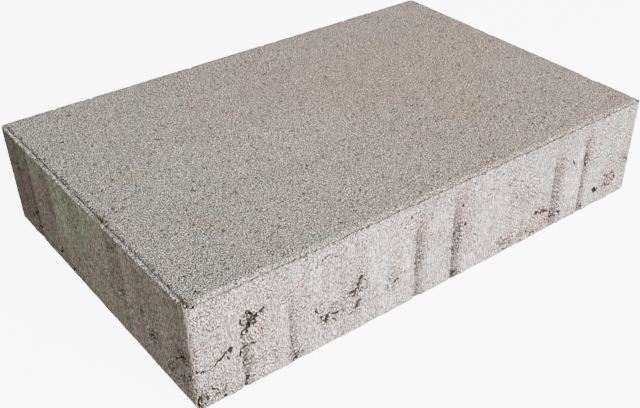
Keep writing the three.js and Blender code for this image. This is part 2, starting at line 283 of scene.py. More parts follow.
FRONT_MARKS = (
    *several(
        groove, (23.8, 7, 0.8, 22), (49.6, 9, 0.6, 10), (126.8, 12, 0.8, 5), (152.3, 11, 1.1, 5),
        (228.9, 13, 0.85, 4), (253.8, 8, 0.9, 2),
    ),
    # The large void and what runs off it.
    *several(
        hollow, (2.6, (28.4, 15.4, 1.0), (29.2, 17.4, 1.1), (31, 20, 2.1), (31.4, 22.8, 1.5)),
        (3.4, (30.6, 19.8, 2.0), (29.2, 22, 1.2), (28.3, 24.4, 0.8), (27.4, 26.4, 1.0)),
        (2.0, (31.5, 20.2, 1.2), (34, 19.4, 0.7), (35, 19, 0.8), (36.9, 18.0, 0.6)),
        (1.4, (25, 18.9, 0.6), (25.2, 21, 0.6), (26, 21.6, 0.4)),
        (1.4, (25.2, 24.8, 0.3), (25, 28.6, 0.6)), (1.0, (28.2, 16.4, 0.3), (26.8, 17.4, 0.5)),
    ),
    # Cracks near the front corner.
    *several(
        hollow,
        (1.5, (0, 36.2, 0.6), (2, 36.8, 0.4), (5, 38, 0.15), (7.6, 38.4, 0.35), (10.2, 37.6, 0.45)),
        (1.6, (10.2, 37.6, 0.5), (12, 35.4, 0.7), (14.6, 34.4, 0.5), (16.6, 32.4, 0.6)),
        (1.5, (16.6, 32.4, 0.6), (18.2, 31.4, 0.5), (18.7, 34.4, 0.4)),
        (1.0, (16.3, 34, 0.3), (17.6, 37.6, 0.45)),
        (1.6, (23.3, 38.6, 0.35), (23.9, 35.8, 0.5), (26.2, 35.1, 0.7), (28, 34.8, 0.35)),
        (1.4, (29.2, 34.8, 0.4), (30.4, 35.3, 0.3), (31.9, 35.4, 0.5)),
        (0.8, (62.2, 10, 0.35), (64.4, 9.6, 0.2), (67.2, 9.3, 0.35)),
        (0.8, (69.6, 7, 0.3), (72, 6.1, 0.35), (75, 6.2, 0.2), (77.6, 8.4, 0.35)),
    ),
    # Voids between the coarse stones.
    *several(
        hollow, (0.9, (5.3, 7.7, 0.6), (6.4, 7, 0.4)), (0.6, (8.2, 7.4, 0.4)), (0.8, (1, 4, 0.6)),
        (1.1, (7.6, 49.4, 0.7), (8.4, 51, 0.6)), (0.9, (9.6, 54.4, 0.6), (12, 55.9, 0.5)),
        (1.2, (4.6, 52.4, 0.5), (5.4, 54.2, 0.5)), (1.3, (3.2, 56.6, 0.6)), (1.0, (6.8, 57.4, 0.5)),
        (1.0, (16.4, 57.2, 0.5)), (1.8, (13.6, 58.4, 0.9)),
        (1.4, (26.4, 53.6, 0.4), (25.8, 56, 0.5), (24.4, 58.8, 0.8)), (1.2, (25.6, 43.6, 0.6)),
        (1.3, (28.6, 58.8, 0.6)), (1.0, (49.7, 48, 0.5), (49.4, 49.6, 0.3)), (2.6, (52.4, 57.8, 1.1)),
        (1.4, (52.8, 55.8, 0.4), (54.2, 54.8, 0.5), (55.4, 55.4, 0.3)),
        (0.8, (33.6, 46.8, 0.4), (36, 46, 0.3)), (0.8, (41.4, 47.4, 0.5)), (0.7, (45.6, 28.1, 0.5)),
        (1.2, (64.4, 34.4, 0.5), (66.6, 36.8, 0.5)),
        (1.9, (72.8, 39.6, 0.7), (71.4, 41.8, 0.45), (70.6, 45, 0.5)),
        (1.8, (74.8, 41.6, 0.4), (76.8, 42.9, 0.65), (78.8, 41.6, 0.4)),
        (1.4, (73.4, 37.2, 0.5), (75.6, 38.2, 0.4)), (1.2, (68, 40.8, 0.5), (69.2, 43, 0.4)),
        (1.2, (79.6, 44.8, 0.5)), (0.9, (64.6, 47, 0.5)),
        (1.8, (93.4, 27.6, 0.5), (91.2, 29.6, 0.7), (91, 32.2, 0.6), (89.2, 33.8, 0.4)),
        (1.4, (89, 36, 0.4), (87.4, 37.4, 0.5)), (0.9, (94.8, 30.6, 0.5)), (0.9, (88.4, 30.2, 0.5)),
        (0.8, (93.2, 34.8, 0.5)), (0.9, (95.2, 26.4, 0.4)), (0.8, (76, 45.4, 0.5)),
        (0.9, (81.2, 42.8, 0.5)), (0.8, (68.6, 37.6, 0.5)), (0.8, (28.6, 29.8, 0.4)),
        (0.7, (26.6, 31.6, 0.4)), (1.6, (86, 34.6, 0.9), (88.6, 34.9, 0.4)),
        (1.6, (92.2, 42, 0.65), (90.2, 42.9, 0.45)), (1.5, (89.2, 44.6, 0.8)),
        (1.0, (87.6, 47, 0.5), (84.8, 47.9, 0.3)), (1.3, (115, 40.8, 0.6), (114.4, 42.6, 0.5)),
        (1.0, (109.6, 43.8, 0.5)), (1.1, (106.8, 45.6, 0.6)), (0.9, (123.6, 6.6, 0.7)),
        (0.7, (122.4, 3.4, 0.4)), (0.7, (106, 19.6, 0.5), (108.6, 19.2, 0.3)),
        (0.7, (130.2, 34.2, 0.2), (132.6, 33.4, 0.4)), (1.2, (128.1, 44, 0.6)),
        (0.8, (149.6, 18.6, 0.6)), (0.8, (158, 15, 0.3), (159.6, 14.4, 0.6)), (1.0, (153.8, 30.9, 0.6)),
        (1.0, (153.8, 40.2, 0.5)), (1.0, (158.6, 30.4, 0.5)), (1.5, (161.3, 27.3, 0.75)),
        (0.8, (166, 37.8, 0.4)), (0.9, (169, 36.9, 0.5)), (1.3, (171.1, 45.6, 0.7)),
        (0.7, (175, 40.8, 0.5)), (1.3, (152.6, 53, 0.4), (154, 55.4, 0.3)), (2.4, (155.8, 57.2, 0.9)),
        (1.1, (192.9, 16, 0.5), (194.4, 15, 0.6)), (0.7, (186.6, 6.2, 0.5)),
        (0.6, (178, 11.8, 0.25), (180.4, 13.2, 0.35)), (1.0, (190.4, 48.4, 0.5)),
        (1.2, (191, 54, 0.6), (194.6, 52, 0.7)), (1.0, (211.4, 26.6, 0.6)), (0.8, (214.4, 31.8, 0.5)),
        (2.0, (217.2, 43.6, 0.8), (219.2, 44.5, 1.0)), (2.0, (221.4, 46, 1.0), (222.8, 44.9, 1.1)),
        (1.4, (224.8, 45.4, 0.9), (226.6, 46.6, 0.7)), (0.9, (209.4, 48.8, 0.5)),
        (1.0, (211.4, 53.8, 0.5), (212, 55.4, 0.4)), (1.0, (215, 57.3, 0.6), (217.4, 56.6, 0.4)),
        (1.3, (230.6, 53, 0.5), (233, 52.3, 0.6)), (1.4, (237, 51.4, 0.4), (238.8, 52.4, 0.4)),
        (0.9, (230.8, 49.2, 0.5)), (0.9, (234.6, 32.8, 0.5)), (0.8, (236, 38.4, 0.4)),
        (1.2, (244.8, 20.2, 0.4), (246, 22.4, 0.45)),
        (0.9, (256.4, 11.2, 0.3), (258.4, 11.6, 0.4), (259.8, 10.4, 0.4)), (0.8, (261, 13.4, 0.4)),
        (1.7, (258.8, 21.8, 0.7), (257.4, 24, 0.4)), (1.1, (256, 25.6, 0.6), (257.4, 28.8, 0.4)),
        (1.0, (259, 31.8, 0.4)), (1.1, (263.6, 26, 0.7)), (0.9, (264.2, 30.8, 0.5)),
        (0.9, (267.8, 6.6, 0.6)), (0.8, (270.8, 12.2, 0.5)),
        (1.4, (254.8, 56.8, 0.5), (257.6, 56.2, 0.4), (259, 57.6, 0.4)),
        (2.8, (268.6, 48.6, 1.3), (270.2, 50.2, 1.2)), (1.2, (271.4, 48.4, 0.6), (272.6, 50.2, 0.4)),
        (1.0, (277.4, 42.2, 0.5)), (1.1, (276.8, 50, 0.5)),
        (1.4, (293.6, 36.2, 0.4), (296.4, 37.7, 0.6)), (0.9, (295.4, 24.6, 0.4), (297.4, 25, 0.3)),
        (1.8, (0, 50.6, 0.9), (1.4, 53.4, 0.8)), (1.5, (0.8, 57.6, 1.0)),
    ),
    # Prints of round stones.
    *several(
        ring, (282.4, 46.8, 4.2, 0.8, 1.0), (258.4, 14.4, 3.2, 0.5, 0.5), (247.5, 18.2, 3.4, 0.6, 0.4),
        (102.6, 56, 3.2, 0.6, 0.4), (11.8, 52.8, 2.5, 0.7, 0.6),
    ),
    *patches(
        "rough", (27, 44, 5, 10), (7, 54, 9, 6), (53, 54, 5, 6), (38, 47, 8, 3, 0.5),
        (33, 20, 7, 7, 0.4), (75, 43, 8, 6), (89, 38, 7, 12, 0.8), (92, 30, 5, 6, 0.9),
        (27, 30, 4, 6, 0.7), (66, 35, 4, 4, 0.7), (72, 8, 8, 4, 0.5), (113, 37, 6, 9, 0.8),
        (130, 32, 4, 9), (156, 34, 5, 12), (157, 57, 4, 4), (195, 53, 10, 7, 0.8), (212, 52, 15, 8),
        (222, 46, 8, 4), (212, 28, 5, 6, 0.6), (233, 42, 5, 10), (234, 53, 7, 6), (259, 18, 5, 12),
        (257, 57, 5, 4, 0.8), (281, 47, 7, 7), (292, 34, 7, 5, 0.6), (195, 15, 4, 4, 0.6),
        (5, 7, 6, 4, 0.5), (205, 24, 17, 14, 0.4),
    ),
    *patches(
        "film", (20, 22, 5, 12, 0.5), (20.5, 36, 2.5, 5, 0.6), (45, 33, 4, 13, 0.6),
        (65, 17, 5, 12, 0.7), (64, 44, 3, 12, 0.4), (84, 12, 8, 10, 0.5), (104, 24, 8, 22, 1.0),
        (121, 35, 4, 18, 1.0), (142, 15, 6, 10, 1.0), (141, 38, 6, 14, 1.0), (146, 53, 5, 7, 0.6),
        (165, 53, 5, 9, 0.9), (172, 8, 8, 6, 0.5), (176, 31, 9, 12, 0.8), (182, 46, 10, 8, 0.5),
        (188, 28, 7, 9, 0.7), (223, 21, 6, 10, 0.7), (246, 39, 5, 13, 1.0), (249, 18, 4, 10, 0.5),
        (265, 37, 5, 6, 0.5), (262.5, 45, 4, 6, 0.7), (95, 53, 8, 6, 0.6), (108, 52, 7, 8, 1.0),
        (66, 53, 7, 6, 0.5), (120, 52, 5, 7, 0.8), (169, 52, 6, 8, 0.5), (72, 55, 9, 5, 0.5),
    ),
    *patches(
        "pink", (2, 26, 3, 6), (12, 22, 4, 4, 0.5), (31, 9, 5, 8), (34, 27, 4, 9), (56, 18, 5, 12),
        (60, 36, 4, 7, 0.5), (115, 35, 4, 6), (132, 17, 6, 9, 0.9), (158, 13, 4.5, 12),
        (163, 25, 4, 15), (103, 54, 4, 4), (175, 53, 7, 6, 0.6), (196, 52, 8, 8, 0.9),
        (212, 53, 11, 8, 0.9), (225, 53, 9, 8), (226, 5, 7, 4, 0.9), (237, 20, 7, 14, 0.9),
        (236, 34, 5, 10, 0.7), (257, 8, 8, 5), (259, 18, 5, 9, 0.9), (269, 11, 9, 6, 0.7),
        (283, 45, 8, 7, 0.9), (293, 34, 6, 5, 0.5), (277, 36, 7, 4, 0.6), (87, 33, 4, 4, 0.7),
    ),
    *patches(
        "green", (285, 16, 12, 15, 0.9), (246, 42, 5, 10, 0.5), (66, 13, 3, 6, 0.4),
        (12, 43, 6, 5, 0.4), (8, 18, 5, 8, 0.3), (218, 12, 6, 5, 0.4), (189, 8, 7, 6, 0.4),
    ),
    # Shade patches: partly darker concrete, partly painted shade along the front-left corner and round the
    # holes.
    *patches(
        "shade", (0.4, 30, 2, 34, 0.6), (2, 53, 4, 6, 0.9), (27, 44, 4, 9, 0.6), (26, 56, 5, 5, 0.5),
        (10, 50, 11, 10, 0.35), (27, 20, 4, 7, 0.5), (53.5, 36, 4, 18, 0.3), (53, 56, 4, 5, 0.6),
        (75, 42, 8, 6, 0.45), (91.5, 32, 5, 7, 0.5), (27.5, 29, 3, 6, 0.3), (90, 44, 4, 4, 0.4),
        (66, 35, 4, 4, 0.3), (113, 37, 5, 8, 0.4), (130.5, 24, 4, 12, 0.2), (130, 34, 4, 8, 0.3),
        (156, 34, 4.5, 15, 0.45), (156, 57, 5, 4, 0.7), (207, 28, 9, 9, 0.3), (222, 45, 7, 3, 0.5),
        (232, 52, 7, 5, 0.6), (233, 30, 4, 22, 0.12), (258, 24, 4, 9, 0.5), (256, 42, 3, 14, 0.3),
        (257, 57, 5, 4, 0.6), (281, 47, 8, 6, 0.55), (291, 39, 9, 7, 0.35), (194, 15, 4, 4, 0.3),
        (195, 53, 7, 5, 0.4), (288, 14, 13, 16, 0.1), (212, 54, 12, 6, 0.35), (2, 2, 40, 3, 0.15),
        (155, 9, 8, 5, 0.2), (270, 4, 40, 4, 0.15),
    ),
)

LEFT_MARKS = (
    *several(groove, (33.2, -12, 0.6, 10), (60.2, -12, 0.6, 6, 34), (139, -9, 0.5, 8, 26)),
    *several(
        hollow, (1.3, (31.6, 40.4, 0.5), (29.6, 42.4, 0.6), (27.4, 44.2, 0.35)),
        (1.2, (26.4, 45, 0.3), (24, 46, 0.5), (21.6, 46.8, 0.3)), (1.1, (29, 52, 0.6), (32, 51.4, 0.4)),
        (1.4, (26.6, 58.8, 0.8), (30, 58, 0.5)),
        (0.9, (10.4, 18, 0.5), (14, 18.4, 0.6), (16.4, 16.4, 0.4)), (0.8, (11.6, 32.6, 0.7)),
        (1.5, (60.6, 48.6, 0.5), (59.6, 49.4, 0.4)), (1.7, (58.8, 51.4, 0.6), (57, 53.2, 0.7)),
        (1.4, (71, 56.6, 0.7), (73.6, 55, 0.4)), (0.5, (80, 20, 0.2), (84.2, 18.8, 0.3)),
        (0.8, (84, 28.2, 0.7)), (0.6, (88.2, 23.4, 0.5)), (0.9, (67.2, 33.8, 0.8)),
        (0.8, (77, 39.2, 0.6)), (0.9, (113.2, 34.4, 0.6)), (0.9, (120.6, 37.6, 0.6)),
        (0.9, (133.4, 32, 0.5), (134.6, 33.6, 0.4)), (0.9, (136.6, 31, 0.5)), (0.9, (136.2, 36.2, 0.6)),
        (0.9, (145.2, 36.5, 0.8)), (1.2, (153.6, 30.8, 0.9)), (0.8, (158, 16.4, 0.5)),
        (0.8, (127, 6.8, 0.6)), (0.8, (126.8, 12.6, 0.5)),
        (0.9, (163, 39.8, 0.4), (160.4, 41, 0.3), (158, 42.4, 0.4)), (0.9, (166.6, 36, 0.5)),
        (1.2, (183, 39.4, 0.5), (185, 37.4, 0.3), (188.6, 34.6, 0.4)),
        (1.2, (188.6, 34.6, 0.4), (190.8, 32.4, 0.6), (193.6, 31.2, 0.5)),
        (1.1, (173.8, 49.4, 0.6), (176.2, 51, 0.5)), (1.0, (178.6, 49.2, 0.5)),
        (1.2, (185.4, 48, 0.8), (187, 47.4, 0.5)), (1.1, (191.6, 47, 0.8)),
        (1.0, (194.6, 43, 0.5), (195.2, 45.4, 0.4)), (0.9, (182, 53.4, 0.6)), (1.0, (134, 48.6, 0.8)),
        (0.8, (181.2, 6.4, 0.5)), (2.2, (198.6, 57.6, 1.4), (200, 53, 0.9)),
    ),
    *patches(
        "rough", (24, 44, 8, 10, 0.5), (28, 55, 8, 6, 0.5), (136, 33, 7, 6, 0.5), (118, 36, 6, 5, 0.4),
        (160, 39, 9, 9, 0.6), (181, 48, 14, 8, 0.6), (192, 34, 6, 7, 0.7), (197, 46, 4, 11, 0.8),
        (72, 55, 9, 4, 0.5), (47, 34, 4, 4, 0.4), (59, 52, 4, 4, 0.5), (83, 20, 4, 3, 0.3),
    ),
    *patches(
        "film", (76, 24, 12, 16, 0.35), (162, 35, 5, 4, 0.5), (197.5, 14, 2.5, 14, 0.4),
        (197.5, 50, 3, 9, 0.4), (163, 48, 12, 5, 0.25), (138, 10, 3, 12, 0.25), (165, 8, 3, 12, 0.3),
        (174, 21, 8, 13, 0.15), (120, 44, 22, 8, 0.2), (144, 22, 6, 20, 0.3), (113, 30, 4, 22, 0.2),
        (172, 28, 7, 20, 0.15),
    ),
    *patches(
        "green", (53, 50, 12, 7, 0.8), (118, 5, 8, 5, 0.4), (72, 42, 10, 8, 0.5), (120, 57, 14, 3, 0.3),
    ),
    *patches(
        "shade", (28, 45, 6, 8, 0.5), (29, 56, 6, 5, 0.6), (18, 30, 8, 8, 0.2), (55, 5, 8, 8, 0.3),
        (129, 6, 8, 6, 0.3), (131, 16, 6, 8, 0.2), (113, 35, 4, 4, 0.35), (121, 38, 4, 3, 0.35),
        (134, 33, 5, 4, 0.25), (154, 31, 4, 3, 0.35), (163, 40, 6, 4, 0.45), (191, 32, 8, 5, 0.6),
        (183, 38, 4, 3, 0.4), (176, 50, 5, 4, 0.4), (188, 48, 5, 4, 0.4), (72, 56, 5, 3, 0.4),
        (95, 58, 34, 2.5, 0.3), (184, 43, 13, 9, 0.15), (10, 54, 12, 8, 0.25), (129, 18, 3, 16, 0.2),
        (158, 14, 5, 12, 0.15), (80, 41, 4, 4, 0.2), (192, 8, 6, 12, 0.15), (9, 18, 4, 5, 0.35),
    ),
    *patches(
        "pink", (40, 33, 9, 16, 0.4), (52, 26, 5, 12, 0.3), (20, 27, 11, 11, 0.5), (190, 33, 8, 6, 0.5),
        (132, 17, 8, 9, 0.3),
    ),
    # Where the mould wall and its grease have changed the film's colour.
    field("film", 0.13, 8, (98, -9), (209, -9), (209, 70), (88, 70)),
    field("green", 1.0, 2.5, (60.5, -9), (124, -9), (86, 40), (62, 46)),
    field("green", 0.9, 4, (18, -9), (48, -9), (48, 13), (18, 16)),
    field("green", 0.9, 8, (-9, -9), (16, -9), (12, 30), (-9, 60)),
    field("shade", 0.72, 2, (-9, -9), (33.4, -9), (33.4, 70), (-9, 70)),
    field("shade", 0.25, 2, (47, -9), (60.5, -9), (60.5, 45), (47, 45)),
    field("shade", 0.1, 3, (33.4, -9), (47, -9), (47, 45), (33.4, 45)),
    field("shade", 0.3, 5, (33.4, 40), (60.5, 40), (85, 70), (33.4, 70)),
)

RIGHT_MARKS = (
    *several(groove, (42, 9, 0.9, 12), (116, 7, 0.8, 10), (158, 11, 0.9, 14)),
    *several(
        hollow, (2.8, (62.5, 40.5, 1.0), (66, 38.8, 1.5), (69.5, 37.6, 0.9)),
        (1.4, (66, 36.6, 0.5), (67.6, 34.6, 0.4)), (2.2, (131, 25, 1.0), (132.5, 28.5, 1.3)),
        (2.0, (92, 60, 1.6), (96, 58.6, 1.2)), (1.2, (23, 22, 0.5), (27, 24.5, 0.6), (30, 24, 0.4)),
        (1.4, (181, 47, 0.8), (184, 49.5, 0.6)),
        (1.1, (148, 42, 0.4), (152, 43.5, 0.6), (154, 46, 0.4)), (1.0, (84, 12.4, 0.6)),
        (0.9, (171, 20.5, 0.7)), (1.0, (12, 44, 0.7)),
    ),
    ring(104, 40, 4.2, 0.6, 0.6),
    *patches(
        "rough", (66, 42, 12, 10), (132, 34, 9, 14, 0.8), (160, 46, 20, 10), (30, 50, 18, 8),
        (44, 34, 5, 14, 0.8), (96, 56, 12, 5, 0.8),
    ),
    *patches(
        "film", (35, 22, 5, 14, 0.8), (110, 24, 4, 18), (150, 20, 6, 14, 0.7), (186, 26, 8, 12, 0.6),
    ),
    *patches(
        "pink", (48, 18, 6, 10, 0.8), (88, 44, 11, 7, 0.8), (164, 26, 7, 12, 0.7), (70, 14, 9, 6, 0.6),
    ),
    *patches("green", (12, 16, 9, 12, 0.6), (134, 12, 10, 7, 0.5), (188, 50, 9, 7, 0.5)),
    *patches(
        "shade", (45, 40, 5, 14, 0.5), (119, 38, 4, 14, 0.4), (163, 44, 6, 12, 0.5),
        (66, 41, 9, 7, 0.4),
    ),
)

BACK_MARKS = (
    *several(
        groove, (39, 8, 0.9, 10), (93, 6, 0.8, 15), (141, 12, 1.0, 9), (213, 7, 0.8, 12),
        (258, 10, 1.0, 10),
    ),
    *several(
        hollow, (2.6, (57, 43, 0.8), (60, 42, 1.4), (63, 41, 0.8)),
        (1.3, (60.4, 40, 0.5), (61.6, 37.8, 0.4)),
        (2.6, (120.5, 23.5, 0.9), (120, 27, 1.5), (118.5, 30.5, 0.9)),
        (2.8, (188, 48, 1.1), (192, 46.8, 1.6), (196.5, 45.2, 0.9)),
        (2.2, (238, 30, 1.2), (241.5, 30.5, 1.1)), (2.2, (103, 60, 1.6), (107, 58.8, 1.2)),
        (1.2, (17, 34, 0.4), (21, 35.5, 0.6), (25, 34.8, 0.4)), (1.2, (166, 33, 0.7), (168.5, 36, 0.5)),
        (1.3, (226, 52, 0.7), (230, 54, 0.7)), (1.1, (279, 22, 0.6), (281, 25.5, 0.7)),
        (1.0, (75, 16.4, 0.7)), (0.9, (153.6, 50.2, 0.7)), (1.0, (271, 50.6, 0.8)),
    ),
    *several(ring, (76, 48, 4.4, 0.6, 0.6), (206, 22, 3.6, 0.6, 0.5)),
    *patches(
        "rough", (60, 45, 16, 9), (120, 34, 8, 15, 0.8), (192, 48, 24, 8), (262, 38, 8, 20, 0.8),
        (20, 52, 15, 7), (144, 40, 6, 14, 0.8), (105, 56, 12, 5, 0.8),
    ),
    *patches(
        "film", (31, 24, 5, 16, 0.8), (86, 30, 4, 20), (132, 26, 5, 18, 0.8), (205, 34, 5, 18, 0.9),
        (250, 22, 5, 14, 0.8), (168, 18, 9, 9, 0.5),
    ),
    *patches(
        "pink", (46, 18, 6, 10, 0.8), (100, 20, 6, 12, 0.7), (150, 22, 7, 13, 0.8),
        (176, 52, 14, 6, 0.8), (221, 22, 6, 11, 0.7), (268, 18, 6, 9, 0.7),
    ),
    *patches("green", (12, 16, 10, 12, 0.5), (288, 16, 9, 12, 0.6), (232, 50, 12, 7, 0.4)),
    *patches(
        "shade", (42, 42, 4, 12, 0.5), (96, 42, 4, 12, 0.4), (145, 40, 6, 14, 0.5),
        (216, 42, 4, 12, 0.4), (262, 42, 5, 12, 0.5), (192, 47, 8, 4, 0.4), (121, 27, 5, 6, 0.4),
    ),
)

TOP_MARKS = (
    *several(
        hollow, (0.8, (257, 16, 0.8)), (0.9, (34, 14, 0.8)), (0.9, (60, 69, 0.8)),
        (0.8, (217, 152, 0.9)), (0.8, (125, 84, 0.7)), (0.8, (184, 52, 0.8)), (0.9, (191, 123, 0.9)),
        (0.7, (2.4, 197, 0.9)), (0.6, (2.6, 115.6, 0.5), (2.4, 119, 0.8)), (0.7, (9, 192, 0.8)),
    ),
    *patches(
        "rust", (29, 95, 9, 8, 0.6), (38, 151, 10, 12, 0.6), (36, 142, 8, 6, 0.4), (2, 118, 3, 6, 0.8),
        (2, 196, 4, 4, 0.5), (19, 165, 5, 5, 0.3), (52, 135, 5, 4, 0.3), (65, 140, 4, 5, 0.3),
        (95, 55, 10, 9, 0.35), (215, 145, 6, 8, 0.3),
    ),
    *patches(
        "film", (81, 79, 1.3, 1.0, 0.6), (252, 126, 1.4, 1.0, 0.6), (262, 113, 1.6, 0.9, 0.6),
        (198, 161, 1.3, 1.1, 0.6), (219, 38, 1.2, 1.0, 0.6), (128, 158, 1.0, 0.8, 0.6),
        (24, 198.6, 20, 2.6, 0.9), (118, 108, 45, 26, 0.18), (62, 104, 38, 28, 0.14),
        (100, 165, 80, 26, 0.1), (95, 48, 40, 22, 0.06),
    ),
    *patches("rough", (24, 198, 22, 2.5, 0.7), (150, 199, 150, 1.2, 0.3)),
    *patches("beige", (224, 78, 86, 48), (214, 136, 20, 34), (160, 96, 30, 24, 0.5)),
    *patches(
        "pink", (124, 44, 32, 36, 0.15), (52, 178, 30, 12, 0.15), (155, 26, 12, 8, 0.25),
        (170, 156, 9, 6, 0.3),
    ),
    *patches("green", (16, 55, 14, 40, 0.3), (135, 106, 18, 14, 0.2), (296, 145, 5, 50, 0.3)),
    *patches(
        "shade", (2, 118, 3, 6, 0.6), (2, 196, 4, 4, 0.6), (20, 16, 34, 14, 0.06),
        (15, 60, 16, 50, 0.04), (214, 145, 9, 9, 0.06),
    ),
)


# Each side's marks, the way it faces and the way its u runs.
SIDES = {
    "front": (FRONT_MARKS, (0, -1), (1, 0)),
    "right": (RIGHT_MARKS, (1, 0), (0, 1)),
    "back": (BACK_MARKS, (0, 1), (-1, 0)),
    "left": (LEFT_MARKS, (-1, 0), (0, -1)),
}


def inset_from(points, outward):
    """How far each point lies in from the side that faces outward."""
    return HALF @ np.abs(outward) - points[:, :2] @ outward


def side_places(points, side):
    """Which points are on a side, and the u of every point along it."""
    _, outward, along = SIDES[side]
    return inset_from(points, outward) <= 0, points[:, :2] @ along + HALF @ np.abs(along)


def mark_faces(points):
    """How strong each kind of mark is at each point of the sides and the wearing face."""
    found = {kind: np.zeros(len(points)) for kind in KINDS}
    drop = HEIGHT - points[:, 2]
    on_top = (drop <= 0) & (np.abs(points[:, :2]) < HALF).all(axis=1)
    faces = [(TOP_MARKS, on_top, points[:, 0] + LENGTH / 2, WIDTH / 2 - points[:, 1])]
    faces += [(SIDES[side][0], *side_places(points, side), drop) for side in SIDES]
    for marks, on_face, u, w in faces:
        chosen = np.flatnonzero(on_face)
        here = points[chosen]
        wander = noise(here, WANDER_SIZE, SEED + 1, 2)
        crumb = noise(here, CRUMB_SIZE, SEED + 2, 2)
        u = u[chosen] + SHIFT * noise(here, SHIFT_SIZE, SEED + 3, 2)
        w = w[chosen] + SHIFT * noise(here, SHIFT_SIZE, SEED + 5, 2)
        for kind, cut, (u_low, u_high, w_low, w_high) in marks:
            near = (u > u_low) & (u < u_high) & (w > w_low) & (w < w_high)
            strength = cut(u[near], w[near], wander[near], crumb[near])
            found[kind][chosen[near]] = np.maximum(found[kind][chosen[near]], strength)
    return found


# ---------------------------------------------------------------- the stone's form
DRAG_REACH = 6.0  # the underside follows a cut edge over this distance
EDGE_RELIEF = 0.3  # how much of the fine relief the edges get
NICK_DROP = 0.8  # how far the ridge is down where a bit of it is missing


def rim_place(points):
    """How far in from the nearest side each point is, and its place across that side's rim."""
    gaps = np.stack([inset_from(points, outward) for _, outward, _ in SIDES.values()], axis=1)
    inset = gaps.min(axis=1)
    share = (gaps + 0.5) ** -4.0
    share /= share.sum(axis=1, keepdims=True)
    ridge = share @ [RIDGE_WIDTHS[side] for side in SIDES]
    ridge *= 1 + 0.3 * noise(points * (1, 1, 0), 6, SEED + 41, 2)
    bevel = share @ [BEVEL_WIDTHS[side] for side in SIDES]
    return inset, np.where(inset < ridge, inset / ridge, 1 + (inset - ridge) / bevel)


def lip_crumble(points):
    """How much lower than its drawn height the moulding ridge stands along the edge."""
    edge = points * (1, 1, 0)
    crumbs = 0.35 * np.maximum(noise(edge, 1.5, SEED + 11), 0)
    worn = 0.45 * smooth_step(0.25, 0.7, noise(edge, 9, SEED + 13, 2))
    missing = NICK_DROP * smooth_step(0.62, 0.74, noise(edge, 3.2, SEED + 17))
    whole = 0.4 * smooth_step(3 - WIDTH / 2, 6 - WIDTH / 2, edge[:, 1])
    missing = (1 - whole) * (crumbs + worn + missing)
    for x, y, radius in NICKS:
        away = np.hypot(edge[:, 0] - x, edge[:, 1] - y)
        missing = np.maximum(missing, NICK_DROP * smooth_step(radius, 0.4 * radius, away))
    return np.minimum(missing, VALLEY_DROP - RIDGE_DROP)


def form_rim(points, inset, place):
    """The height of the top at each place: ridge, valley, bevel and wearing face."""
    ragged = 0.14 * noise(points, 5, SEED + 19, 2) + 0.08 * noise(points, 1.4, SEED + 23)
    on_bevel = smooth_step(1.0, 1.3, place)
    drop = np.interp(place + ragged * on_bevel, RIM_PLACES, RIM_DROPS)
    drop += lip_crumble(points) * (1 - on_bevel)
    sway = 0.12 * (1 + noise(points, 55, SEED + 29)) * smooth_step(0, 20, inset)
    return HEIGHT - np.minimum(drop, VALLEY_DROP + 0.15) - sway


def form_stone(points):
    """Carries the box grid to the stone; returns its points, and its marks by name."""
    found = mark_faces(points)
    inset, place = rim_place(points)
    on_side, on_top, on_bed = inset <= 0, points[:, 2] >= HEIGHT, points[:, 2] <= 0

    broken = 0.75 + 0.5 * noise(points, 1.3, SEED + 31, 2)
    pits = found["hollow"] * broken
    depth = (found["groove"] + pits) * smooth_step(0, 2.5, HEIGHT - points[:, 2])
    depth += np.interp(points[:, 2], SIDE_HEIGHTS, SIDE_INSETS) * (1 + 0.8 * noise(points, 4, SEED + 37))
    moved, away = square_to_round(points)
    moved[:, :2] -= away * (depth * on_side)[:, None]

    for side, (_, outward, _) in SIDES.items():
        on_face, along = side_places(points, side)
        foot = np.flatnonzero(on_face & on_bed)
        foot = foot[np.argsort(along[foot])]
        beyond = inset_from(points, outward)
        follows = on_bed & ~on_side & (beyond < DRAG_REACH)
        drag = np.interp(along[follows], along[foot], depth[foot])
        drag *= 1 - beyond[follows] / DRAG_REACH
        moved[follows, :2] -= drag[:, None] * outward

    lip = LIP_DROP + lip_crumble(points)
    moved[:, 2] -= points[:, 2] / HEIGHT * lip * on_side
    moved[on_top, 2] = form_rim(points[on_top], inset[on_top], place[on_top]) - pits[on_top]
    edge = on_top & on_side
    moved[edge, 2] = HEIGHT - lip[edge]

    upward = on_top * 1.0 - (on_bed & ~on_side)
    outward = np.column_stack((away * on_side[:, None], upward))
    edges = on_side & (on_top | on_bed)
    outward[edges] *= EDGE_RELIEF / np.linalg.norm(outward[edges], axis=1)[:, None]
    at_left = points[:, 0] < 3 - LENGTH / 2
    marks = {kind: np.clip(strength, 0, 1) for kind, strength in found.items()}
    marks["hollow"] = np.clip(found["hollow"] / DEEPEST, 0, 1)
    marks |= {
        "outward": outward,
        "wall": on_side * (1.0 - on_top) * smooth_step(0, 3, HEIGHT - points[:, 2]),
        "deck": on_top * smooth_step(2.0, 2.6, place),
        "bed": 1.0 * (on_bed & ~on_side),
        "valley": on_top * np.interp(place, (0.85, 1.0, 1.15, 1.4), (0, 1, 1, 0)),
        "bevel": on_top * np.interp(place, (1.0, 1.2, 1.8, 2.0), (0, 1, 1, 0)),
        "ridge": on_top * np.interp(place, (0.0, 0.2, 0.6, 0.85), (0.5, 1, 1, 0)) * at_left,
        "warm": 1.0 * (points[:, 0] <= -LENGTH / 2) * (points[:, 2] > 0),
    }
    return moved, marks


